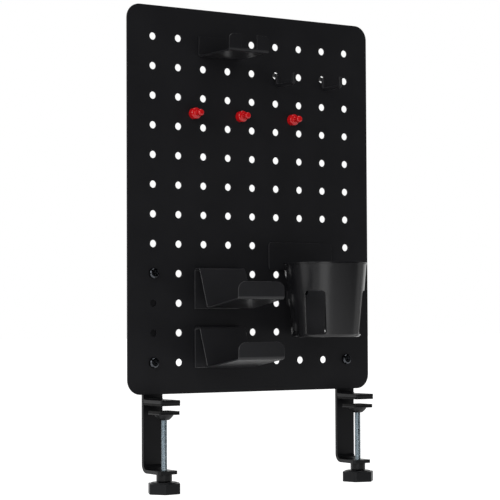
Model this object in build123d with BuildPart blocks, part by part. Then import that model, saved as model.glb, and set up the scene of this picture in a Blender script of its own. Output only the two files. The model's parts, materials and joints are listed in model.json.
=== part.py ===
from build123d import *
import os
from math import cos, radians, sin

# A desk pegboard that stands on two screw clamps, with its accessories hooked on.
# All sizes are in millimetres. X runs across the board, Y from the user to the back,
# Z up. The origin is on the desk top, at its back edge, midway between the clamps.

# ---- board ---------------------------------------------------------------------------
pitch = 25.4                # hole spacing, both ways
columns = 9
rows = 12
hole_dia = 6.3
board_thickness = 1.2
side_margin = 25.4          # from the outer holes to the board's edge
end_margin = 26.8
corner_radius = 12.7
board_lift = 8.7            # board's lower edge above the desk top
edge_chamfer = 0.25

board_width = (columns - 1) * pitch + 2 * side_margin
board_height = (rows - 1) * pitch + 2 * end_margin
top_row_z = board_lift + end_margin + (rows - 1) * pitch
board_front = -board_thickness


def column_x(column):
    """X of a column of holes, counted from 0 at the left."""
    return (column - (columns - 1) / 2) * pitch


def row_z(row):
    """Z of a row of holes, counted from 0 at the top."""
    return top_row_z - row * pitch


# ---- clamps --------------------------------------------------------------------------
clamp_columns = {"left": 0, "right": columns - 1}
screw_rows = (8, 11)        # rows of the screws that hold the board to a strap
strap_width = 19.0
strap_thickness = 3.0
strap_end_margin = 9.5      # strap above its upper screw
bend_radius = 4.6           # inside the bend
lower_jaw_reach = 26.0
jaw_corner = 3.0
upper_jaw_reach = 30.0
upper_jaw_thickness = 3.0
jaw_pad_thickness = 1.7
jaw_pad_setback = 0.5
weld_leg = 1.2
screw_reach = 18.2          # clamp screw's axis in front of the strap
screw_dia = 5.4
screw_clearance = 0.06      # radial, in the bush
jaw_hole_clearance = 0.5    # radial, in the lower jaw
bush_dia = 13.3
bush_height = 6.2
knob_sides = 6
knob_radius = 15.0          # to the corners, before they are rounded
knob_corner = 2.5
knob_turns = {"left": 4.0, "right": -14.0}   # as the knobs happen to stand, in degrees
knob_height = 9.0
knob_crown_dia = 23.0       # foot of the shoulder
knob_shoulder = 0.9
knob_slope = 30             # shoulder's side, from upright
knob_gap = 0.3              # between the bush and the knob, screwed fully up
knob_socket_depth = 6.5
grip_gap = 4.6              # between the jaw pad and the pressure pad, screwed fully up
pressure_side = 20.0
pressure_pad_thickness = 1.5
pressure_plate_thickness = 1.6
pressure_corner = 1.5
socket_dia = 16.6
socket_height = 4.4
socket_wall = 1.2
socket_dome = 14.0          # radius of the socket's outside
ball_dia = 7.6
ball_height = 2.4
ball_clearance = 0.3
screw_travel = 40.0
jaw_margin = 2.4            # left between the socket and the lower jaw, screwed fully down

# ---- screws that hold the board ------------------------------------------------------
panel_screw_dia = 5.0
panel_head_dia = 9.2
panel_head_height = 3.2
panel_head_round = 1.9
panel_nut_flats = 8.0
panel_nut_height = 4.0
panel_screw_clearance = 0.3 # radial, in the straps
panel_screw_end = 1.0       # past its nut
cross_width = 1.1
cross_span = 4.8
cross_depth = 1.5

# ---- accessories ---------------------------------------------------------------------
sheet = 1.2                 # accessory sheet
seat_gap = 0.2              # between an accessory's plate and the board
peg_dia = 3.6
hook_radius = 5.0           # rear hook's arc, centred on the tilting axis
hook_angle = 96.0
peg_length = 2.8            # straight peg behind its plate
bend = 1.8                  # inside radius of a sheet bend
plate_back = board_front - seat_gap
plate_front = plate_back - sheet

tray_columns = (2, 3)
tray_rows = (8, 10)
tray_offset = 0.5           # tray's middle, from the middle of its two columns
tray_width = 46.6
tray_plate_height = 35.3
tray_top_reach = 8.8        # fold at the top, in front of the plate's back
tray_back_reach = 21.5      # foot of the leaning back
tray_back_drop = 33.9
tray_floor_reach = 68.8     # front edge of the rising floor
tray_floor_rise = 7.5
tray_lip_height = 13.7
tray_lip_corner = 7.0

hanger_columns = (2, 3)
hanger_row = 0
hanger_left = 17.9          # plate's left edge, from the middle of its two columns
hanger_width = 40.3
hanger_plate_height = 18.0
hanger_top = 3.2            # plate above its holes
hanger_reach = 50.25       # lip's outer face
hanger_lip_height = 14.7
hanger_tab_width = 12.0
hanger_notch_depth = 11.9
hanger_corner = 4.5

wire_columns = (5, 7)
wire_row = 1
wire_dia = 3.6
wire_drop = 9.3
wire_reach = 29.6
wire_tip = 8.6
wire_bend = 2.6             # centre-line radius of the bends in front
wire_end_radius = 1.2

cup_column = 6
cup_row = 7
cup_top_radius = 36.3
cup_foot_radius = 30.4
cup_height = 65.2
cup_wall = 1.8
cup_floor = 2.2
cup_foot_round = 3.0
cup_rim_width = 0.7
cup_rim_height = 1.6
cup_gap = 0.6               # between the cup's rim and its bracket
cup_drop = 15.6             # rim below the bracket's holes
window_angles = (-52.0, 52.0, 128.0, -128.0)
window_span = 33.6
window_top = 24.8           # below the rim
window_foot = 2.5           # above the cup's underside
window_corner = 3.0
bracket_width = 68.6
bracket_height = 24.5
tongue_width = 30.0         # lower part of the bracket, behind the cup
tongue_height = 56.0
bracket_top = 3.3           # above its holes
bracket_corner = 3.0
cup_screw_drops = (10.0, 26.0)   # below the rim
cup_screw_dia = 3.4
cup_head_dia = 6.6
cup_head_height = 1.8
cup_head_round = 0.9
cup_head_gap = 0.2
cup_boss_dia = 9.0

pin_columns = {"left": 1.6, "middle": 3.5, "right": 5.67}
pin_row = 2.535             # between two rows of holes
pin_base_dia = 9.8
pin_base_height = 5.4
pin_neck_dia = 4.4
pin_neck_end = 9.6          # from the board
pin_head_dia = 5.8
pin_length = 13.8
pin_slope = 0.8
pin_rounds = [0.3, 1.2, 0.8, 0.6, 0.6, 1.6]   # base's back to the head's front
magnet_dia = 7.6
magnet_depth = 3.0

os.makedirs("parts", exist_ok=True)


def save(part, name):
    """Label a finished piece and write it."""
    part.label = name
    export_step(part, f"parts/{name}.step")


# ---- pegboard panel ------------------------------------------------------------------
with BuildPart() as panel:
    with BuildSketch(Plane.XZ):
        with Locations((0, board_lift + board_height / 2)):
            RectangleRounded(board_width, board_height, corner_radius)
        with Locations((0, (row_z(0) + row_z(rows - 1)) / 2)):
            with GridLocations(pitch, pitch, columns, rows):
                Circle(hole_dia / 2, mode=Mode.SUBTRACT)
    extrude(amount=board_thickness)
    front_rim = panel.faces().sort_by(Axis.Y)[0].outer_wire()
    chamfer(front_rim.edges(), edge_chamfer)
save(panel.part, "pegboard_panel")


# ---- clamps --------------------------------------------------------------------------
strap_top = row_z(screw_rows[0]) + strap_end_margin
socket_top = -grip_gap - pressure_pad_thickness - pressure_plate_thickness
socket_under = socket_top - socket_height
ball_top = socket_top - ball_clearance
ball_under = ball_top - ball_height
ball_round = ball_height / 3
lower_jaw_top = socket_under - screw_travel - jaw_margin
lower_jaw_under = lower_jaw_top - strap_thickness
bush_under = lower_jaw_under - bush_height
knob_top = bush_under - knob_gap


def clamp_strap(x):
    """Strip behind the board that bends forward into the lower jaw."""
    outer = bend_radius + strap_thickness
    with BuildPart() as strap:
        with BuildSketch(Plane.YZ.offset(x - strap_width / 2)):
            with BuildLine():
                upright = Line((0, strap_top), (0, lower_jaw_top + bend_radius))
                turn = RadiusArc(upright @ 1, (-bend_radius, lower_jaw_top), bend_radius)
                jaw = Line(turn @ 1, (-lower_jaw_reach, lower_jaw_top))
                Line(jaw @ 1, (-lower_jaw_reach, lower_jaw_under))
                under = Line((-lower_jaw_reach, lower_jaw_under), (-bend_radius, lower_jaw_under))
                back = RadiusArc(under @ 1, (strap_thickness, lower_jaw_top + bend_radius), -outer)
                rear = Line(back @ 1, (strap_thickness, strap_top))
                Line(rear @ 1, upright @ 0)
            make_face()
        extrude(amount=strap_width)
        front = strap.faces().sort_by(Axis.Y)[0]
        fillet(front.edges().filter_by(Axis.Z), jaw_corner)
        crown = strap.faces().sort_by(Axis.Z)[-1]
        fillet(crown.edges().filter_by(Axis.Y), jaw_corner)
        with BuildSketch(Plane.XY.offset(lower_jaw_under)):
            with Locations((x, -screw_reach)):
                Circle(screw_dia / 2 + jaw_hole_clearance)
        extrude(amount=strap_thickness, mode=Mode.SUBTRACT)
        with BuildSketch(Plane.XZ.offset(-strap_thickness)):
            for row in screw_rows:
                with Locations((x, row_z(row))):
                    Circle(panel_screw_dia / 2 + panel_screw_clearance)
        extrude(amount=strap_thickness, mode=Mode.SUBTRACT)
    return strap.part


def upper_jaw(x):
    """Plate welded to the strap above the desk, with its weld bead."""
    with BuildPart() as jaw:
        with BuildSketch(Plane.XY.offset(jaw_pad_thickness)):
            with Locations((x, -upper_jaw_reach / 2)):
                Rectangle(strap_width, upper_jaw_reach)
        extrude(amount=upper_jaw_thickness)
        front = jaw.faces().sort_by(Axis.Y)[0]
        fillet(front.edges().filter_by(Axis.Z), jaw_corner / 2)
        jaw_top = jaw_pad_thickness + upper_jaw_thickness
        with BuildSketch(Plane.YZ.offset(x - strap_width / 2)):
            with BuildLine():
                Polyline((0, jaw_top), (-weld_leg, jaw_top), (0, jaw_top + weld_leg), close=True)
            make_face()
        extrude(amount=strap_width)
    return jaw.part


def jaw_pad(x):
    """Rubber between the upper jaw and the desk top."""
    length = upper_jaw_reach - jaw_pad_setback
    with BuildPart() as pad:
        with BuildSketch(Plane.XY):
            with Locations((x, -jaw_pad_setback - length / 2)):
                Rectangle(strap_width, length)
        extrude(amount=jaw_pad_thickness)
        front = pad.faces().sort_by(Axis.Y)[0]
        fillet(front.edges().filter_by(Axis.Z), jaw_corner / 2)
    return pad.part


def threaded_bush(x):
    """Round bush under the lower jaw that the clamp screw runs in."""
    with BuildPart() as bush:
        with BuildSketch(Plane.XY.offset(bush_under)):
            with Locations((x, -screw_reach)):
                Circle(bush_dia / 2)
                Circle(screw_dia / 2 + screw_clearance, mode=Mode.SUBTRACT)
        extrude(amount=bush_height)
        rim = bush.faces().sort_by(Axis.Z)[0].outer_wire()
        chamfer(rim.edges(), 2 * edge_chamfer)
    return bush.part


def clamp_screw(x):
    """Screw with a flat ball end above and a plain end inside the knob."""
    with BuildPart() as screw:
        with BuildSketch(Plane.XY.offset(knob_top - knob_socket_depth)):
            with Locations((x, -screw_reach)):
                Circle(screw_dia / 2)
        extrude(amount=ball_under - knob_top + knob_socket_depth)
        with BuildSketch(Plane.XY.offset(ball_under)):
            with Locations((x, -screw_reach)):
                Circle(ball_dia / 2)
        extrude(amount=ball_height)
        fillet(screw.faces().sort_by(Axis.Z)[-1].edges(), ball_round)
    return screw.part


def knob(x, turn):
    """Six-sided knob with a blind socket for the screw."""
    with BuildPart() as grip:
        with BuildSketch(Plane.XY.offset(knob_top - knob_shoulder - knob_height)) as corners:
            with Locations((x, -screw_reach)):
                RegularPolygon(knob_radius, knob_sides, rotation=turn)
            fillet(corners.vertices(), knob_corner)
        extrude(amount=knob_height)
        fillet(grip.faces().sort_by(Axis.Z)[0].edges(), 2 * edge_chamfer)
        with BuildSketch(Plane.XY.offset(knob_top - knob_shoulder)):
            with Locations((x, -screw_reach)):
                Circle(knob_crown_dia / 2)
        extrude(amount=knob_shoulder, taper=knob_slope)
        with BuildSketch(Plane.XY.offset(knob_top - knob_socket_depth)):
            with Locations((x, -screw_reach)):
                Circle(screw_dia / 2)
        extrude(amount=knob_socket_depth, mode=Mode.SUBTRACT)
    return grip.part


def swivel_socket(x):
    """Dished socket that holds the screw's ball end below the pressure plate."""
    neck = screw_dia / 2 + ball_clearance
    seat = ball_dia / 2 + ball_clearance
    with BuildPart() as socket:
        with BuildSketch(Plane.XZ.offset(screw_reach)):
            with BuildLine():
                rim = (x + socket_dia / 2, socket_top)
                dome = RadiusArc(rim, (x + neck + socket_wall, socket_under), socket_dome)
                Polyline(
                    dome @ 1,
                    (x + neck, socket_under),
                    (x + neck, ball_under - ball_clearance),
                    (x + seat, ball_under - ball_clearance),
                    (x + seat, socket_top),
                    dome @ 0,
                )
            make_face()
        revolve(axis=Axis((x, -screw_reach, 0), (0, 0, 1)))
    return socket.part


def pressure_square(x, under, thickness):
    """Square plate centred on the clamp screw."""
    with BuildPart() as plate:
        with BuildSketch(Plane.XY.offset(under)):
            with Locations((x, -screw_reach)):
                RectangleRounded(pressure_side, pressure_side, pressure_corner)
        extrude(amount=thickness)
    return plate.part


for side, column in clamp_columns.items():
    x = column_x(column)
    save(clamp_strap(x), f"{side}_clamp_strap")
    save(upper_jaw(x), f"{side}_upper_jaw")
    save(jaw_pad(x), f"{side}_jaw_pad")
    save(threaded_bush(x), f"{side}_threaded_bush")
    save(clamp_screw(x), f"{side}_clamp_screw")
    save(knob(x, knob_turns[side]), f"{side}_knob")
    save(swivel_socket(x), f"{side}_swivel_socket")
    save(pressure_square(x, socket_top, pressure_plate_thickness), f"{side}_pressure_plate")
    save(
        pressure_square(x, -grip_gap - pressure_pad_thickness, pressure_pad_thickness),
        f"{side}_pressure_pad",
    )


# ---- screws and nuts between the board and the straps ---------------------------------
panel_screw_places = [(column_x(c), row_z(r)) for c in clamp_columns.values() for r in screw_rows]

with BuildPart() as panel_screws:
    with BuildSketch(Plane.XZ.offset(board_thickness)):
        with Locations(*panel_screw_places):
            Circle(panel_head_dia / 2)
    extrude(amount=panel_head_height)
    head_fronts = panel_screws.faces().group_by(Axis.Y)[0]
    fillet(head_fronts.edges(), panel_head_round)
    with BuildSketch(Plane.XZ.offset(board_thickness + panel_head_height)):
        with Locations(*panel_screw_places):
            Rectangle(cross_span, cross_width)
            Rectangle(cross_width, cross_span)
    extrude(amount=-cross_depth, mode=Mode.SUBTRACT)
    with BuildSketch(Plane.XZ.offset(board_thickness)):
        with Locations(*panel_screw_places):
            Circle(panel_screw_dia / 2)
    extrude(amount=-(board_thickness + strap_thickness + panel_nut_height + panel_screw_end))
save(panel_screws.part, "panel_screws")

with BuildPart() as panel_nuts:
    with BuildSketch(Plane.XZ.offset(-strap_thickness)):
        with Locations(*panel_screw_places):
            RegularPolygon(panel_nut_flats / 2, 6, major_radius=False)
            Circle(panel_screw_dia / 2, mode=Mode.SUBTRACT)
    extrude(amount=-panel_nut_height)
save(panel_nuts.part, "panel_nuts")


# ---- pegs that hold an accessory ------------------------------------------------------
def rear_hook(x, z):
    """Round peg that starts on the plate's back, passes the hole and curls up.

    Its arc is centred on the axis that the accessory tilts about, so that it slides
    through the hole along itself.
    """
    curl = radians(hook_angle)
    end = (board_front + hook_radius * sin(curl), z + hook_radius - hook_radius * cos(curl))
    with BuildPart() as hook:
        with BuildLine(Plane.YZ.offset(x)):
            straight = Line((plate_back, z), (board_front, z))
            TangentArc(straight @ 1, end, tangent=straight % 1)
        with BuildSketch(Plane(origin=(x, plate_back, z), z_dir=(0, 1, 0))):
            Circle(peg_dia / 2)
        sweep()
    return hook.part


def straight_peg(x, z):
    """Short peg that steadies the lower part of a plate."""
    with BuildPart() as peg:
        with BuildSketch(Plane(origin=(x, plate_back, z), z_dir=(0, 1, 0))):
            Circle(peg_dia / 2)
        extrude(amount=peg_length)
    return peg.part


# ---- trays ---------------------------------------------------------------------------
def bent_sheet(points, radii, x_low, width):
    """Folded sheet. The points give one of its faces in Y and Z, and it lies left of them."""
    with BuildPart() as folded:
        with BuildSketch(Plane.YZ.offset(x_low)):
            with BuildLine():
                FilletPolyline(*points, radius=radii)
                offset(amount=sheet, side=Side.LEFT)
            make_face()
        extrude(amount=width)
    return folded.part


tray_middle = (column_x(tray_columns[0]) + column_x(tray_columns[1])) / 2 + tray_offset


def tray(row):
    """Plate, leaning back, rising floor and front lip, folded from one sheet."""
    top = row_z(row) + hook_radius
    back_foot = (plate_back - tray_back_reach, top - tray_back_drop)
    front = (plate_back - tray_floor_reach, top - tray_back_drop + tray_floor_rise)
    outline = [
        (plate_back, top - tray_plate_height),
        (plate_back, top),
        (plate_back - tray_top_reach, top),
        back_foot,
        front,
        (front[0], front[1] + tray_lip_height),
    ]
    radii = [bend + sheet, bend + sheet, bend, bend]
    folded = bent_sheet(outline, radii, tray_middle - tray_width / 2, tray_width)
    with BuildPart() as cradle:
        add(folded)
        lip_corners = cradle.edges().filter_by(Axis.Y).group_by(Axis.Y)[0].group_by(Axis.Z)[-1]
        fillet(lip_corners, tray_lip_corner)
    return cradle.part


def tray_pegs(row):
    """Two hooked pegs in the upper row of holes and two straight pegs in the next."""
    hooked = [rear_hook(column_x(column), row_z(row)) for column in tray_columns]
    straight = [straight_peg(column_x(column), row_z(row + 1)) for column in tray_columns]
    with BuildPart() as pegs:
        add(hooked + straight)
    return pegs.part


for name, row in zip(("upper", "lower"), tray_rows):
    save(tray(row), f"{name}_cradle")
    save(tray_pegs(row), f"{name}_cradle_pegs")


# ---- headphone hanger ----------------------------------------------------------------
hanger_middle = (column_x(hanger_columns[0]) + column_x(hanger_columns[1])) / 2
hanger_x = hanger_middle - hanger_left
hanger_plate_top = row_z(hanger_row) + hanger_top
hanger_shelf = hanger_plate_top - hanger_plate_height

hanger_outline = [
    (plate_back - hanger_reach, hanger_shelf + hanger_lip_height),
    (plate_back - hanger_reach, hanger_shelf),
    (plate_back, hanger_shelf),
    (plate_back, hanger_plate_top),
]
hanger_sheet = bent_sheet(hanger_outline, [bend + sheet, bend + sheet], hanger_x, hanger_width)

with BuildPart() as hanger:
    add(hanger_sheet)
    hanger_tops = hanger.edges().filter_by(Axis.Y).group_by(Axis.Y)[0].group_by(Axis.Z)[-1]
    fillet(hanger_tops, hanger_corner)
    notch_top = hanger_shelf + hanger_lip_height
    with BuildSketch(Plane.XZ.offset(-plate_back + hanger_reach)):
        with Locations((hanger_x + hanger_width / 2, notch_top)):
            Rectangle(hanger_width - 2 * hanger_tab_width, 2 * hanger_notch_depth)
    extrude(amount=-2 * sheet, mode=Mode.SUBTRACT)
save(hanger.part, "headphone_hanger")

hanger_pegs = [rear_hook(column_x(column), row_z(hanger_row)) for column in hanger_columns]

with BuildPart() as hanger_hooks:
    add(hanger_pegs)
save(hanger_hooks.part, "hanger_hooks")


# ---- wire hooks ----------------------------------------------------------------------
def wire_hook(x, z):
    """Wire that curls up behind the board, drops down its face and reaches forward."""
    curl = radians(hook_angle)
    tail = (board_front + hook_radius * sin(curl), z + hook_radius - hook_radius * cos(curl))
    inward = (-cos(curl), -sin(curl))
    face = board_front - wire_bend
    foot = z - wire_drop
    tip = -wire_reach
    with BuildPart() as hook:
        with BuildLine(Plane.YZ.offset(x)):
            peg = TangentArc(tail, (board_front, z), tangent=Vector(0, *inward))
            shoulder = TangentArc(peg @ 1, (face, z - wire_bend), tangent=peg % 1)
            drop = Line(shoulder @ 1, (face, foot + wire_bend))
            heel = TangentArc(drop @ 1, (face - wire_bend, foot), tangent=drop % 1)
            arm = Line(heel @ 1, (tip + wire_bend, foot))
            toe = TangentArc(arm @ 1, (tip, foot + wire_bend), tangent=arm % 1)
            Line(toe @ 1, (tip, foot + wire_tip))
        with BuildSketch(Plane(origin=(x, *tail), z_dir=(0, *inward))):
            Circle(wire_dia / 2)
        sweep()
        tip_face = hook.faces().filter_by(GeomType.PLANE).sort_by(Axis.Y)[0]
        fillet(tip_face.edges(), wire_end_radius)
    return hook.part


for side, column in zip(("left", "right"), wire_columns):
    save(wire_hook(column_x(column), row_z(wire_row)), f"{side}_wire_hook")


# ---- cup -----------------------------------------------------------------------------
cup_x = column_x(cup_column)
cup_y = plate_front - cup_gap - cup_top_radius - cup_rim_width
cup_rim_z = row_z(cup_row) - cup_drop
cup_foot_z = cup_rim_z - cup_height
cup_screw_places = [(cup_x, cup_rim_z - drop) for drop in cup_screw_drops]


def cup_radius(z):
    """Outer radius of the cup's wall at a height."""
    share = (z - cup_foot_z) / cup_height
    return cup_foot_radius + share * (cup_top_radius - cup_foot_radius)


def cup_wall_band(inset, low, high):
    """Half section between the axis and the wall, inset from its outside."""
    Polyline(
        (cup_x, low),
        (cup_x + cup_radius(low) - inset, low),
        (cup_x + cup_radius(high) - inset, high),
        (cup_x, high),
        close=True,
    )


cup_axis = Axis((cup_x, cup_y, 0), (0, 0, 1))
window_low = cup_foot_z + window_foot
window_high = cup_rim_z - window_top
window_middle = (window_low + window_high) / 2
window_width = 2 * cup_radius(window_middle) * sin(radians(window_span / 2))

with BuildPart() as cup:
    with BuildSketch(Plane.XZ.offset(-cup_y)):
        with BuildLine():
            cup_wall_band(0, cup_foot_z, cup_rim_z)
        make_face()
    revolve(axis=cup_axis)
    fillet(cup.edges().group_by(Axis.Z)[0], cup_foot_round)
    with BuildSketch(Plane.XY.offset(cup_rim_z - cup_rim_height)):
        with Locations((cup_x, cup_y)):
            Circle(cup_top_radius + cup_rim_width)
    extrude(amount=cup_rim_height)
    # bosses that reach back from the wall to the bracket
    with BuildSketch(Plane.XZ.offset(-plate_front)):
        with Locations(*cup_screw_places):
            Circle(cup_boss_dia / 2)
    extrude(amount=plate_front - cup_y - cup_foot_radius)
    with BuildSketch(Plane.XZ.offset(-cup_y)):
        with BuildLine():
            cup_wall_band(cup_wall, cup_foot_z + cup_floor, cup_rim_z)
        make_face()
    revolve(axis=cup_axis, mode=Mode.SUBTRACT)
    with BuildSketch(Plane.XZ.offset(-plate_front)):
        with Locations(*cup_screw_places):
            Circle(cup_screw_dia / 2)
    extrude(amount=cup_top_radius, mode=Mode.SUBTRACT)
    for angle in window_angles:
        across = (cos(radians(angle)), sin(radians(angle)), 0)
        outward = (sin(radians(angle)), -cos(radians(angle)), 0)
        with BuildSketch(Plane(origin=(cup_x, cup_y, window_middle), x_dir=across, z_dir=outward)):
            RectangleRounded(window_width, window_high - window_low, window_corner)
        extrude(amount=2 * cup_top_radius, mode=Mode.SUBTRACT)
save(cup.part, "cup")

with BuildPart() as cup_bracket:
    bracket_high = row_z(cup_row) + bracket_top
    with BuildSketch(Plane.XZ.offset(-plate_back)):
        with Locations((cup_x, bracket_high - bracket_height / 2)):
            RectangleRounded(bracket_width, bracket_height, bracket_corner)
        with Locations((cup_x, bracket_high - tongue_height / 2)):
            RectangleRounded(tongue_width, tongue_height, bracket_corner)
        with Locations(*cup_screw_places):
            Circle(cup_screw_dia / 2, mode=Mode.SUBTRACT)
    extrude(amount=sheet)
save(cup_bracket.part, "cup_bracket")

bracket_pegs = [rear_hook(column_x(cup_column + step), row_z(cup_row)) for step in (-1, 1)]

with BuildPart() as cup_bracket_hooks:
    add(bracket_pegs)
save(cup_bracket_hooks.part, "cup_bracket_hooks")

with BuildPart() as cup_screws:
    for place in cup_screw_places:
        head_y = cup_y + cup_radius(place[1] - cup_head_dia / 2) - cup_wall - cup_head_gap
        with BuildSketch(Plane.XZ.offset(-plate_back)):
            with Locations(place):
                Circle(cup_screw_dia / 2)
        extrude(amount=plate_back - head_y)
        with BuildSketch(Plane.XZ.offset(-head_y)):
            with Locations(place):
                Circle(cup_head_dia / 2)
        extrude(amount=cup_head_height)
        rims = cup_screws.edges().filter_by(GeomType.CIRCLE)
        fillet(rims.group_by(Axis.Z)[0].group_by(Axis.Y)[0], cup_head_round)
save(cup_screws.part, "cup_screws")


# ---- pins ----------------------------------------------------------------------------
def pin_cap(x, z):
    """Moulded cap: broad base, waist and small head, with a pocket for its magnet."""
    profile = [
        (0, 0),
        (pin_base_dia / 2, 0),
        (pin_base_dia / 2, pin_base_height),
        (pin_neck_dia / 2, pin_base_height + pin_slope),
        (pin_neck_dia / 2, pin_neck_end),
        (pin_head_dia / 2, pin_neck_end + pin_slope),
        (pin_head_dia / 2, pin_length),
        (0, pin_length),
    ]
    back = board_front - seat_gap
    with BuildPart() as cap:
        with BuildSketch(Plane(origin=(x, back, z), x_dir=(1, 0, 0), z_dir=(0, 0, -1))):
            with BuildLine():
                outside = FilletPolyline(*profile, radius=pin_rounds)
                Line(outside @ 1, outside @ 0)
            make_face()
        revolve(axis=Axis((x, 0, z), (0, 1, 0)))
        with BuildSketch(Plane.XZ.offset(-back)):
            with Locations((x, z)):
                Circle(magnet_dia / 2)
        extrude(amount=magnet_depth, mode=Mode.SUBTRACT)
    return cap.part


def pin_magnet(x, z):
    """Disc magnet that fills the pocket in a pin's base."""
    with BuildPart() as magnet:
        with BuildSketch(Plane.XZ.offset(board_thickness + seat_gap)):
            with Locations((x, z)):
                Circle(magnet_dia / 2)
        extrude(amount=magnet_depth)
    return magnet.part


for side, column in pin_columns.items():
    save(pin_cap(column_x(column), row_z(pin_row)), f"{side}_pin_cap")
    save(pin_magnet(column_x(column), row_z(pin_row)), f"{side}_pin_magnet")
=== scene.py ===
# %% [markdown]
# # A desk pegboard with its accessories
# The real object is a black powder-coated steel board on two screw clamps. A headphone
# hanger, two trays, a cup and two wire hooks hang in its holes, and three red magnetic
# pins sit on it. The solid model gives every size, and this lesson dresses it. Places are
# in metres, with X to the right, Y to the back and Z up from the desk top. Small sizes
# are written as so many MM.

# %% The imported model
import json
import math

import bmesh
import bpy
from mathutils import Matrix, Vector

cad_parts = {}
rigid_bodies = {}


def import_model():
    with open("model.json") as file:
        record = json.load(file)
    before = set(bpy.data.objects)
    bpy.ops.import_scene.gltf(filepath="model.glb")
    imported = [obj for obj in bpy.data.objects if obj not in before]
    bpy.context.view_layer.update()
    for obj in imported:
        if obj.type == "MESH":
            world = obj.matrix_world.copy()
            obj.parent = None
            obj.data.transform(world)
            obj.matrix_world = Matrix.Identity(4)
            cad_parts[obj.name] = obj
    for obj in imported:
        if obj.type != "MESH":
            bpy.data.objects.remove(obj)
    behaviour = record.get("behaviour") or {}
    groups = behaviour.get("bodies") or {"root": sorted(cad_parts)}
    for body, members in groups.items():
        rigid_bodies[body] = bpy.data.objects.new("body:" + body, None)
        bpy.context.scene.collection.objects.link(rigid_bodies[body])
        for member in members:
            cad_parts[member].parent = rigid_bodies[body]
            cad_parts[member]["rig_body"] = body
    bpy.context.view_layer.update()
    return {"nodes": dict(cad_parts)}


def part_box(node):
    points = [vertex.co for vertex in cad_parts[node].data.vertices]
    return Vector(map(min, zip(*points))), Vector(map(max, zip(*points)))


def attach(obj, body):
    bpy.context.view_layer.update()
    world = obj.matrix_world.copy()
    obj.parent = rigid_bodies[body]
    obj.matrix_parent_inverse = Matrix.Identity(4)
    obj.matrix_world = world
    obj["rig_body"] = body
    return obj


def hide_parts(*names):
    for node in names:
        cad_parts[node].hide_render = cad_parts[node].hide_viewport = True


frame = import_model()
nodes = frame["nodes"]
MM = 0.001

# %% [markdown]
# The photograph was taken from the left and a little below the middle of the board, with
# a long lens. A camera could be set by eye, but here its place, angles and focal length
# come from the board's own grid of holes: 75 hole centres fit this camera to a tenth of a
# pixel, with the holes taken as equally far apart both ways and the picture as not
# cropped.

# %% Camera
picture_side, focal_length = 500, 1834.9  # both in pixels
sensor_width = 36
camera_place = (-0.89656, -1.34852, 0.0734)
azimuth, pitch, roll = math.radians(33.56), math.radians(2.12), math.radians(-0.26)

lens = bpy.data.cameras.new("photo_camera")
lens.sensor_width = sensor_width
lens.lens = focal_length / picture_side * sensor_width
lens.clip_start = 0.05
lens.clip_end = 60
camera = bpy.data.objects.new("photo_camera", lens)
bpy.context.scene.collection.objects.link(camera)
bpy.context.scene.camera = camera
print("focal length in mm:", round(lens.lens, 1))

# %% [markdown]
# A camera looks along its own -Z, with its X to the right of the picture and its Y up. So
# the three directions are worked out from the angles and put into one matrix. Euler
# angles would do as well, but this way nothing depends on their order.

# %% Where the camera looks
ahead = Vector((
    math.sin(azimuth) * math.cos(pitch),
    math.cos(azimuth) * math.cos(pitch),
    math.sin(pitch),
))
level_right = Vector((math.cos(azimuth), -math.sin(azimuth), 0))
level_up = level_right.cross(ahead)
right = level_right * math.cos(roll) + level_up * math.sin(roll)
up = level_up * math.cos(roll) - level_right * math.sin(roll)
turned = Matrix((right, up, -ahead)).transposed().to_4x4()
camera.matrix_world = Matrix.Translation(camera_place) @ turned
print("camera at", tuple(camera.location))

# %% [markdown]
# Colours are written as sRGB hex values, as a paint chart gives them, and one function
# turns them to the linear values that the shaders work in. Another small function adds a
# shader node with its settings and links, so that each material reads as a short list.

# %% Colour and node helpers
def linear(code):
    """The linear colour of an sRGB hex code."""
    parts = [int(code[i : i + 2], 16) / 255 for i in (1, 3, 5)]
    return [c / 12.92 if c <= 0.04045 else ((c + 0.055) / 1.055) ** 2.4 for c in parts] + [1.0]


def shade(code, share):
    """The linear colour of a hex code, made darker or lighter by a share."""
    return [c * share for c in linear(code)[:3]] + [1.0]


def add_node(tree, kind, settings=None, inputs=None):
    """Adds a node, sets its own settings, and fills or links its inputs."""
    made = tree.nodes.new(kind)
    for key, value in (settings or {}).items():
        setattr(made, key, value)
    for key, value in (inputs or {}).items():
        socket = made.inputs[key]
        if isinstance(value, bpy.types.NodeSocket):
            tree.links.new(value, socket)
        else:
            socket.default_value = value
    return made


def new_material(name):
    """An empty node material and its output."""
    material = bpy.data.materials.new(name)
    material.use_nodes = True
    material.node_tree.nodes.clear()
    output = material.node_tree.nodes.new("ShaderNodeOutputMaterial")
    return material, material.node_tree, output


print("mid grey is", round(linear("#808080")[0], 3), "of white's light")

# %% [markdown]
# A white studio. The camera, mirror-like reflections and clear things see a white world.
# The light that falls on the object comes from a dimmer world and four soft lamps, so
# that a colour looks about as it is written. A bright world alone would be simpler, but
# it lights every side alike.

# %% World
def seen_or_mirrored(tree):
    """A light path node, and a node that is 1 for camera rays and mirrored rays."""
    path = add_node(tree, "ShaderNodeLightPath")
    either = add_node(tree, "ShaderNodeMath", {"operation": "MAXIMUM"}, {
        0: path.outputs["Is Camera Ray"],
        1: path.outputs["Is Glossy Ray"],
    })
    return path, either


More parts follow.
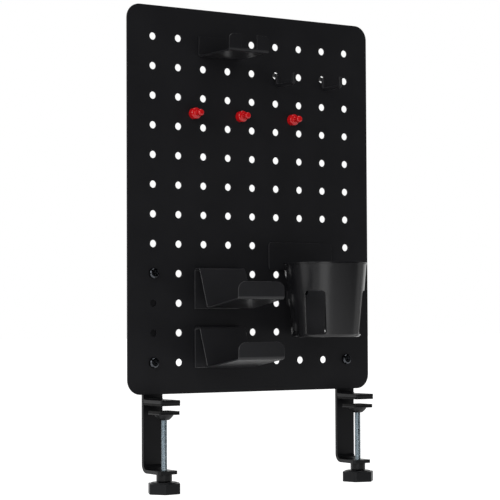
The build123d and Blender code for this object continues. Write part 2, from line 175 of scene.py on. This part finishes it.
dim, white = 0.55, 1.0
world = bpy.data.worlds.new("white_studio")
world.use_nodes = True
sky = world.node_tree
sky.nodes.clear()
path, seen = seen_or_mirrored(sky)
seen = add_node(sky, "ShaderNodeMath", {"operation": "MAXIMUM"}, {
    0: seen.outputs[0],
    1: path.outputs["Is Transmission Ray"],
})
strength = add_node(sky, "ShaderNodeMapRange", {}, {
    "Value": seen.outputs[0],
    "To Min": dim,
    "To Max": white,
})
background = add_node(sky, "ShaderNodeBackground", {}, {
    "Color": linear("#ffffff"),
    "Strength": strength.outputs[0],
})
add_node(sky, "ShaderNodeOutputWorld", {}, {"Surface": background.outputs[0]})
bpy.context.scene.world = world
bpy.context.scene.view_settings.view_transform = "Standard"
print("world strength:", dim, "as light,", white, "as seen")

# %% [markdown]
# Lamps. A smooth black sheet shows little but the lamps that it mirrors. Small lamps would
# give hard white spots, so these are large: a key lamp at the left, a wide one in front,
# a weak one at the right and one above. The camera doesn't see them.

# %% Lamps
lamp_target = Vector((0, 0, 0.15))


def soft_lamp(name, place, size, power):
    """A rectangular area lamp that faces the board, with its power in watts."""
    data = bpy.data.lights.new(name, "AREA")
    data.shape = "RECTANGLE"
    data.size, data.size_y = size
    data.energy = power
    lamp = bpy.data.objects.new(name, data)
    bpy.context.scene.collection.objects.link(lamp)
    lamp.visible_camera = False
    lamp.location = place
    lamp.rotation_euler = (lamp_target - Vector(place)).to_track_quat("-Z", "Y").to_euler()
    return lamp


lamps = [
    soft_lamp("key_left", place=(-1.9, -0.7, 1.0), size=(0.8, 1.0), power=19),
    soft_lamp("front_wide", place=(-1.12, -1.6, 0.2), size=(0.95, 1.5), power=8),
    soft_lamp("strip_right", place=(1.75, -0.35, 0.35), size=(0.75, 1.4), power=1.6),
    soft_lamp("top", place=(0.1, -0.3, 1.9), size=(1.2, 0.8), power=9),
]
print("lamps:", [lamp.name for lamp in lamps])

# %% [markdown]
# In a white room a black object turns grey, because even matt paint mirrors a few percent
# of the room. Photographers stand black cloth in front of such an object, out of the
# picture, so that only its edges catch the white. The cloth here is a part of a circle,
# extruded up and then inwards as a canopy. It is seen by reflections only and takes no
# light away.

# %% Black cloth in front
def matt_material(name, code):
    """A dull material of one colour."""
    material, tree, output = new_material(name)
    dull = add_node(tree, "ShaderNodeBsdfDiffuse", {}, {"Color": linear(code)})
    tree.links.new(dull.outputs[0], output.inputs["Surface"])
    return material


def show_in_reflections_only(thing, material):
    """Dresses a studio aid that neither the camera, plain light nor a shadow shows."""
    thing.data.materials.append(material)
    thing.visible_camera = False
    thing.visible_diffuse = False
    thing.visible_transmission = False
    thing.visible_shadow = False


cloth_radius, cloth_foot = 2.6, -0.6
cloth_start, cloth_end = -178, 8  # degrees round from the right, through the front
wall_height, wall_top = 2.6, 0.97  # the top's radius as a share of the foot's
canopy_height, canopy_top = 0.9, 0.45
bpy.ops.object.select_all(action="DESELECT")
bpy.ops.mesh.primitive_circle_add(
    vertices=96, radius=cloth_radius, fill_type="NOTHING", location=(0, 0, cloth_foot)
)
cloth = bpy.context.object
cloth.name = "black_cloth"
bpy.ops.object.transform_apply(location=True)
bpy.ops.object.mode_set(mode="EDIT")
bpy.ops.mesh.select_all(action="DESELECT")
ring = bmesh.from_edit_mesh(cloth.data)
for point in ring.verts:
    turn = math.degrees(math.atan2(point.co.y, point.co.x))
    point.select = not cloth_start < turn < cloth_end
ring.select_flush_mode()
bpy.ops.mesh.delete(type="VERT")
bpy.ops.mesh.select_all(action="SELECT")
for rise, share in ((wall_height, wall_top), (canopy_height, canopy_top)):
    bpy.ops.mesh.extrude_region_move(TRANSFORM_OT_translate={"value": (0, 0, rise)})
    bpy.ops.transform.resize(value=(share, share, 1), center_override=(0, 0, 0))
bpy.ops.object.mode_set(mode="OBJECT")
show_in_reflections_only(cloth, matt_material("black_velvet", "#151515"))
print("cloth corners:", len(cloth.data.vertices))

# %% [markdown]
# A strip of grey card lies just above the floor, behind the board. It shades the rear of
# the lower tray's underside, which mirrors that part of the floor. The card is narrow,
# because a wider one would also hide the bright spots where the trays mirror the board's holes.

# %% Grey card behind the board
floor_height = -0.32
card_place, card_size = (0.6, 0.27, floor_height + 0.01), (4.0, 0.34, 1)
bpy.ops.object.select_all(action="DESELECT")
bpy.ops.mesh.primitive_plane_add(size=1, location=card_place)
card = bpy.context.object
card.name = "grey_card"
bpy.ops.transform.resize(value=card_size)
bpy.ops.object.transform_apply(location=True, scale=True)
show_in_reflections_only(card, matt_material("grey_paper", "#7c7c7c"))
print("card:", [round(side, 2) for side in card.dimensions])

# %% [markdown]
# The floor is a large pale sheet well below the desk's edge, because the object hangs on
# a desk that isn't shown. A white sheet alone comes out grey where less light reaches it,
# so this one also glows where the camera or a mirror sees it, and still takes a soft
# shadow.

# %% Floor
floor_side, floor_glow = 60, 0.75
bpy.ops.object.select_all(action="DESELECT")
bpy.ops.mesh.primitive_plane_add(size=floor_side, location=(0, 0, floor_height))
floor = bpy.context.object
floor.name = "studio_floor"
paper, tree, output = new_material("white_backdrop_paper")
_, seen = seen_or_mirrored(tree)
glow = add_node(tree, "ShaderNodeEmission", {}, {
    "Color": linear("#ffffff"),
    "Strength": floor_glow,
})
matte = add_node(tree, "ShaderNodeBsdfDiffuse", {}, {"Color": linear("#e6e6e6")})
both = add_node(tree, "ShaderNodeAddShader", {}, {0: glow.outputs[0], 1: matte.outputs[0]})
mixed = add_node(tree, "ShaderNodeMixShader", {}, {
    0: seen.outputs[0],
    1: matte.outputs[0],
    2: both.outputs[0],
})
tree.links.new(mixed.outputs[0], output.inputs["Surface"])
floor.data.materials.append(paper)
print("floor at", floor_height)

# %% [markdown]
# Powder coat is plastic powder baked onto steel. It hides the metal, has no sharp
# mirror image, and shows a fine orange peel: low bumps about a millimetre apart. A photo
# of such a coat would tile, so noise in real millimetres makes the bumps, and a much
# larger noise makes the slight mottling.

# %% Powder coat
COLOUR_A, COLOUR_B, COLOUR_OUT = 6, 7, 2  # a Mix node's sockets for colours


def powder_coat(name, code, roughness, gloss, peel=0.9, depth=0.02):
    """Baked powder: orange peel in mm, and a little mottling of its colour and gloss."""
    cloud_size, mottling, unevenness = 45, 0.2, 0.04
    material, tree, output = new_material(name)
    place = add_node(tree, "ShaderNodeTexCoord").outputs["Object"]
    grain = add_node(tree, "ShaderNodeTexNoise", {}, {
        "Vector": place,
        "Scale": 1 / (peel * MM),
        "Detail": 3.0,
    })
    cloud = add_node(tree, "ShaderNodeTexNoise", {}, {
        "Vector": place,
        "Scale": 1 / (cloud_size * MM),
        "Detail": 2.0,
    })
    tone = add_node(tree, "ShaderNodeMix", {"data_type": "RGBA"}, {
        "Factor": cloud.outputs["Fac"],
        COLOUR_A: shade(code, 1 - mottling),
        COLOUR_B: shade(code, 1 + mottling),
    })
    rough = add_node(tree, "ShaderNodeMapRange", {}, {
        "Value": cloud.outputs["Fac"],
        "To Min": roughness - unevenness,
        "To Max": roughness + unevenness,
    })
    bump = add_node(tree, "ShaderNodeBump", {}, {
        "Height": grain.outputs["Fac"],
        "Strength": 0.5,
        "Distance": depth * MM,
    })
    shader = add_node(tree, "ShaderNodeBsdfPrincipled", {}, {
        "Base Color": tone.outputs[COLOUR_OUT],
        "Roughness": rough.outputs[0],
        "Specular IOR Level": gloss,
        "Normal": bump.outputs[0],
    })
    tree.links.new(shader.outputs[0], output.inputs["Surface"])
    return material


# %% The coats of the board, the sheet pieces and the clamps
# flat black that hardly shines
board_coat = powder_coat("board_powder_coat", "#19191b", roughness=0.4, gloss=0.13)
# a smoother coat, so that folded sheet shows where it turns
sheet_coat = powder_coat("accessory_powder_coat", "#202022", roughness=0.3, gloss=0.2)
# the blackest coat, with a soft shine
clamp_coat = powder_coat("clamp_powder_coat", "#0d0d0f", roughness=0.36, gloss=0.2)
# the same coat on an edge: rubbed smoother, and painted lighter as a thin painted highlight line
worn_edge_highlight_coat = powder_coat("smoothed_powder_coat_painted_highlight", "#242426", roughness=0.28, gloss=0.4)
coats = (board_coat, sheet_coat, clamp_coat, worn_edge_highlight_coat)
print("powder coats:", [coat.name for coat in coats])

# %% [markdown]
# Moulded plastic and rubber. The knobs are moulded with a fine spark-eroded grain that
# takes the gloss off, and the rubber pads are duller still. The cup and the pins come
# from polished moulds and are glossy, with a faint wave in place of a grain. One function
# makes all four. The grain of the knobs and pads is half a millimetre wide or less. In a
# picture of the whole board that is too fine to be seen, and it only dulls the shine.

# %% Moulded plastic and rubber
def grained(name, code, roughness, gloss, grain, depth):
    """A moulded surface with an even grain, its size and depth in mm."""
    mottling = 0.25
    material, tree, output = new_material(name)
    place = add_node(tree, "ShaderNodeTexCoord").outputs["Object"]
    speck = add_node(tree, "ShaderNodeTexNoise", {}, {
        "Vector": place,
        "Scale": 1 / (grain * MM),
        "Detail": 2.0,
    })
    tone = add_node(tree, "ShaderNodeMix", {"data_type": "RGBA"}, {
        "Factor": speck.outputs["Fac"],
        COLOUR_A: shade(code, 1 - mottling),
        COLOUR_B: shade(code, 1 + mottling),
    })
    bump = add_node(tree, "ShaderNodeBump", {}, {
        "Height": speck.outputs["Fac"],
        "Strength": 0.6,
        "Distance": depth * MM,
    })
    shader = add_node(tree, "ShaderNodeBsdfPrincipled", {}, {
        "Base Color": tone.outputs[COLOUR_OUT],
        "Roughness": roughness,
        "Specular IOR Level": gloss,
        "Normal": bump.outputs[0],
    })
    tree.links.new(shader.outputs[0], output.inputs["Surface"])
    return material


# %% The knobs, the pads, the cup and the pins
# grained nylon, half dull
knob_plastic = grained(
    "moulded_polyamide", "#101113", roughness=0.42, gloss=0.16, grain=0.5, depth=0.02
)
# rubber without any shine
pad_rubber = grained("nitrile_rubber", "#191919", roughness=0.75, gloss=0.15, grain=0.4, depth=0.03)
# polished plastic that mirrors the room as long bands down the cup
cup_plastic = grained("gloss_abs", "#131315", roughness=0.25, gloss=0.36, grain=1.6, depth=0.004)
# the same in red, with small bright spots on the caps
pin_plastic = grained("red_gloss_abs", "#b50f14", roughness=0.2, gloss=0.42, grain=1.2, depth=0.004)
plastics = (knob_plastic, pad_rubber, cup_plastic, pin_plastic)
print("plastics and rubber:", [plastic.name for plastic in plastics])

# %% [markdown]
# Plated steel. The clamp screws are zinc plated, which gives steel a bluish, slightly
# streaked shine. The small screws are black zinc, which still mirrors a lamp as a bright
# speck in the cross recess. The nuts are blackened, and the magnets are nickel plated.
# Noise squeezed along the axis makes the turning marks. They are too fine to be seen one
# by one in a picture of the whole board, where they only soften the shine.

# %% Plated steel
def plated(name, code, roughness, spacing):
    """Bright plated steel with turning marks round a standing axis, so many mm apart."""
    mark_length, darkening, unevenness = 12, 0.8, 0.06  # length as a multiple of spacing
    material, tree, output = new_material(name)
    place = add_node(tree, "ShaderNodeTexCoord").outputs["Object"]
    squeezed = add_node(tree, "ShaderNodeMapping", {}, {
        "Vector": place,
        "Scale": (1, 1, mark_length),
    })
    marks = add_node(tree, "ShaderNodeTexNoise", {}, {
        "Vector": squeezed.outputs[0],
        "Scale": 1 / (spacing * mark_length * MM),
        "Detail": 3.0,
    })
    tone = add_node(tree, "ShaderNodeMix", {"data_type": "RGBA"}, {
        "Factor": marks.outputs["Fac"],
        COLOUR_A: shade(code, darkening),
        COLOUR_B: linear(code),
    })
    rough = add_node(tree, "ShaderNodeMapRange", {}, {
        "Value": marks.outputs["Fac"],
        "To Min": roughness - unevenness,
        "To Max": roughness + unevenness,
    })
    shader = add_node(tree, "ShaderNodeBsdfPrincipled", {}, {
        "Base Color": tone.outputs[COLOUR_OUT],
        "Metallic": 1.0,
        "Roughness": rough.outputs[0],
    })
    tree.links.new(shader.outputs[0], output.inputs["Surface"])
    return material


# %% The screws, the magnets and the nuts
# pale bluish steel, the only bright metal in view
zinc = plated("zinc_plated_steel", "#a8b4bb", roughness=0.26, spacing=0.3)
# dark, but still a metal mirror
black_zinc = plated("black_zinc_screws", "#45474b", roughness=0.2, spacing=0.4)
# warmer and smoother than zinc
nickel = plated("nickel_plated_magnet", "#c9c8c4", roughness=0.18, spacing=0.4)
# blackened steel looks like a thin, even coat
black_oxide = powder_coat(
    "black_oxide_steel", "#0d0d0e", roughness=0.34, gloss=0.2, peel=0.5, depth=0.01
)
metals = (zinc, black_zinc, nickel, black_oxide)
print("metals:", [metal.name for metal in metals])

# %% [markdown]
# A solid comes as loose triangles. Each shown piece is a copy of its solid, in the same
# place, with the triangles joined and those that lie in one plane merged to one face.
# Modelling the piece anew would risk another size, and a copy can't.

# %% A merged copy of a solid
same_point = 0.001 * MM
same_plane = math.radians(0.4)


def merged_copy(name, materials):
    """A copy of a solid with whole faces, in the given materials."""
    bpy.ops.object.select_all(action="DESELECT")
    bpy.context.view_layer.objects.active = nodes[name]
    nodes[name].select_set(True)
    bpy.ops.object.duplicate()
    piece = bpy.context.object
    piece.name = name + "_finished"
    # the notes on the solid's object are the solid's alone
    for key in list(piece.keys()):
        del piece[key]
    piece.parent = None
    piece.data.materials.clear()
    for material in materials:
        piece.data.materials.append(material)
    bpy.ops.object.mode_set(mode="EDIT")
    bpy.ops.mesh.select_all(action="SELECT")
    bpy.ops.mesh.remove_doubles(threshold=same_point)
    bpy.ops.mesh.customdata_custom_splitnormals_clear()
    bpy.ops.mesh.dissolve_limited(angle_limit=same_plane)
    bpy.ops.object.mode_set(mode="OBJECT")
    return piece


# %% [markdown]
# No real edge is razor sharp. The coat rounds the board's holes and the sheet's edges by
# a few tenths of a millimetre, and those rounds catch the light. A Bevel modifier makes
# them. On the hanger, the trays and the cup's bracket the rounds get a second coat. It is
# smoother, because hands and tools rub an edge first, and it is painted lighter than the
# faces as a painted highlight along the edge. The shading is weighted by area, so that the
# large faces stay perfectly flat.

# %% A finished piece
bevel_above = math.radians(35)
smooth_below = math.radians(34)


def rounded(name, material, edge, steps=1, smoothed_highlight_edges=None):
    """Finishes a copy of a solid: edges rounded by so many mm, perhaps in a smoother coat painted
    lighter as a highlight.
    """
    piece = merged_copy(name, [material, smoothed_highlight_edges] if smoothed_highlight_edges else [material])
    if edge:
        bevel = piece.modifiers.new("bevel", "BEVEL")
        bevel.width = edge * MM
        bevel.segments = steps
        bevel.limit_method = "ANGLE"
        bevel.angle_limit = bevel_above
        # the rounds take the second material: smoother, and painted lighter as a highlight
        bevel.material = 1 if smoothed_highlight_edges else -1
        bpy.ops.object.modifier_apply(modifier=bevel.name)
    bpy.ops.object.shade_smooth_by_angle(angle=smooth_below)
    even = piece.modifiers.new("even", "WEIGHTED_NORMAL")
    even.keep_sharp = True
    bpy.ops.object.modifier_apply(modifier=even.name)
    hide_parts(name)
    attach(piece, nodes[name]["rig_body"])
    print(piece.name, len(piece.data.polygons), "faces")
    return piece


# %% [markdown]
# The board is one punched steel sheet with 108 round holes. Screws with a cross recess and
# hex nuts hold it to the clamps, and two more screws hold the cup to its bracket. The
# screws have the smallest rounds, because the arms of the recess are narrow.

# %% The board and the fasteners
rounded("pegboard_panel", board_coat, edge=0.2)
rounded("panel_nuts", black_oxide, edge=0.2)
for name in ("panel_screws", "cup_screws"):
    rounded(name, black_zinc, edge=0.15)

# %% [markdown]
# The accessories are bent from sheet, with pegs and hooks of wire behind them that sit in
# the board's holes. The two wire hooks are already round, so their edges are left as they
# are.

# %% Sheet and wire accessories
# the sheet's rounds are painted lighter than its faces, a painted highlight
for name in ("upper_cradle", "lower_cradle"):
    rounded(name, sheet_coat, edge=0.4, steps=3, smoothed_highlight_edges=worn_edge_highlight_coat)
for name in ("headphone_hanger", "cup_bracket"):
    rounded(name, board_coat, edge=0.4, steps=3, smoothed_highlight_edges=worn_edge_highlight_coat)
for name in ("hanger_hooks", "upper_cradle_pegs", "lower_cradle_pegs", "cup_bracket_hooks"):
    rounded(name, sheet_coat, edge=0.3)
for name in ("left_wire_hook", "right_wire_hook"):
    rounded(name, board_coat, edge=0)

# %% [markdown]
# The cup's outside is polished by its mould. Its inside is left matt, so that the cup
# slides off the mould's core. The inside is also painted lighter than the outside, as
# painted light on the inside wall seen through a window. A second material on the faces
# that look at the cup's axis does this without cutting the cup in two. The mouth is round,
# so the cup's box gives the axis.

# %% The cup, glossy outside, matt and painted lighter inside
looks_inwards = -0.5
cup = rounded("cup", cup_plastic, edge=0.3, steps=2)
# the inside's lighter grey is painted light; its matt roughness is the mould's
cup_inside_matt_painted_lighter = grained("inside_abs_matt_painted_lighter", "#2c2c2f", roughness=0.55, gloss=0.3, grain=0.6, depth=0.01)
cup.data.materials.append(cup_inside_matt_painted_lighter)
low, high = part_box("cup")
mouth_radius = (high.x - low.x) / 2
axis = Vector((low.x + mouth_radius, low.y + mouth_radius, 0))
inside = 0
for face in cup.data.polygons:
    outward = Vector((face.center.x - axis.x, face.center.y - axis.y, 0))
    if face.normal.dot(outward.normalized()) < looks_inwards:
        face.material_index = 1
        inside += 1
print("matt faces in the cup:", inside)

# %% [markdown]
# The clamps are thick strip, bent and welded, so the edges of the strap and the jaw are
# rounder than the board's. The knobs are moulded and rounder still, and the pads are cut
# from sheet rubber.

# %% The clamps
for side in ("left", "right"):
    rounded(f"{side}_clamp_strap", clamp_coat, edge=0.4, steps=2)
    rounded(f"{side}_upper_jaw", clamp_coat, edge=0.4, steps=2)
    rounded(f"{side}_jaw_pad", pad_rubber, edge=0.3)
    rounded(f"{side}_threaded_bush", clamp_coat, edge=0.3)
    rounded(f"{side}_knob", knob_plastic, edge=0.6, steps=3)
    rounded(f"{side}_swivel_socket", clamp_coat, edge=0.2)
    rounded(f"{side}_pressure_plate", clamp_coat, edge=0.3)
    rounded(f"{side}_pressure_pad", pad_rubber, edge=0.3)

# %% [markdown]
# Each pin is a moulded red cap with a disc magnet in its foot. The cap's solid has its
# rounds already and only needs smooth shading. The magnet is hidden while the pin sits on
# the board.

# %% The magnetic pins
for side in ("left", "middle", "right"):
    rounded(f"{side}_pin_cap", pin_plastic, edge=0)
    rounded(f"{side}_pin_magnet", nickel, edge=0.2)

# %% [markdown]
# The clamp screw is a rolled metric thread. A striped material on a plain rod would have
# a smooth outline, so the thread is modelled. A plane is stood up beside the axis, and its
# outer edge is drawn in to make one tooth. Its face and its inner edge go, and the Screw
# modifier winds the three edges that are left round the axis, a turn per tooth, as a
# lathe cuts it.

# %% A wound thread
crest, root, lead = 2.7 * MM, 2.32 * MM, 1.0 * MM
crest_flat = 0.16  # height of the tooth's outer edge, as a share of the lead
steps_a_turn = 28


def wound_thread(name, turns):
    """A thread of so many turns round the Z axis, from the origin up."""
    middle = ((crest + root) / 2, 0, lead / 2)
    bpy.ops.object.select_all(action="DESELECT")
    bpy.ops.mesh.primitive_plane_add(size=lead, location=middle, rotation=(math.pi / 2, 0, 0))
    thread = bpy.context.object
    thread.name = name
    bpy.ops.object.transform_apply(location=True, rotation=True)
    bpy.ops.object.mode_set(mode="EDIT")
    bpy.ops.mesh.select_all(action="SELECT")
    bpy.ops.transform.resize(value=((crest - root) / lead, 1, 1), center_override=middle)
    bpy.ops.mesh.delete(type="ONLY_FACE")
    tooth = bmesh.from_edit_mesh(thread.data)
    for point in tooth.verts:
        point.select = point.co.x > middle[0]
    tooth.select_flush_mode()
    bpy.ops.transform.resize(value=(1, 1, crest_flat), center_override=middle)
    bpy.ops.mesh.select_all(action="INVERT")
    bpy.ops.mesh.delete(type="EDGE")
    bpy.ops.object.mode_set(mode="OBJECT")
    winding = thread.modifiers.new("winding", "SCREW")
    winding.axis = "Z"
    winding.screw_offset = lead
    winding.iterations = turns
    winding.steps = steps_a_turn
    winding.render_steps = steps_a_turn
    winding.use_merge_vertices = True
    winding.merge_threshold = same_point
    bpy.ops.object.modifier_apply(modifier=winding.name)
    bpy.ops.object.mode_set(mode="EDIT")
    bpy.ops.mesh.select_all(action="SELECT")
    bpy.ops.mesh.remove_doubles(threshold=same_point)
    bpy.ops.mesh.normals_make_consistent(inside=False)
    bpy.ops.object.mode_set(mode="OBJECT")
    return thread


# %% [markdown]
# Inside the thread runs a solid core, so that nothing shows through its turns. Above, the
# screw ends in a flat ball that turns in the pressure plate's socket. Both are turned
# shapes, so both start as cylinders, and the ball gets its edges bevelled. The thread's
# first turn is hidden in the knob and its last in the ball.

# %% Core and flat ball
ball_radius, ball_height, ball_round = 3.8 * MM, 2.4 * MM, 0.7 * MM
core_radius = root + 0.02 * MM
core_into_ball = 0.4 * MM
thread_starts_below = 0.2 * lead


def threaded_screw(name, low, high):
    """The wound thread, its core and the flat ball, between a solid screw's corners."""
    middle = (low + high) / 2
    shank = high.z - ball_height - low.z
    thread = wound_thread(name, int(shank / lead))
    thread.location = (middle.x, middle.y, low.z - thread_starts_below)
    bpy.ops.object.transform_apply(location=True)
    core_length = shank + core_into_ball
    bpy.ops.mesh.primitive_cylinder_add(
        vertices=48,
        radius=core_radius,
        depth=core_length,
        location=(middle.x, middle.y, low.z + core_length / 2),
    )
    core = bpy.context.object
    bpy.ops.mesh.primitive_cylinder_add(
        vertices=48,
        radius=ball_radius,
        depth=ball_height,
        location=(middle.x, middle.y, high.z - ball_height / 2),
    )
    ball = bpy.context.object
    bevel = ball.modifiers.new("bevel", "BEVEL")
    bevel.width = ball_round
    bevel.segments = 3
    bpy.ops.object.modifier_apply(modifier=bevel.name)
    for part in (core, thread):
        part.select_set(True)
    bpy.context.view_layer.objects.active = thread
    bpy.ops.object.join()
    thread.data.materials.clear()
    thread.data.materials.append(zinc)
    bpy.ops.object.shade_smooth_by_angle(angle=math.radians(30))
    return thread


# %% [markdown]
# The two clamps are alike, so the screw is modelled once, at the left, and its copy is
# moved across to the right. Each turns with its own body.

# %% The two clamp screws
left_low, left_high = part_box("left_clamp_screw")
right_low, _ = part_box("right_clamp_screw")
left_screw = threaded_screw("left_threaded_screw", left_low, left_high)
bpy.ops.object.duplicate()
right_screw = bpy.context.object
right_screw.name = "right_threaded_screw"
right_screw.location = right_low - left_low
bpy.ops.object.transform_apply(location=True)
for side, screw in (("left", left_screw), ("right", right_screw)):
    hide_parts(f"{side}_clamp_screw")
    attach(screw, f"{side}_screw")
    print(screw.name, len(screw.data.polygons), "faces")
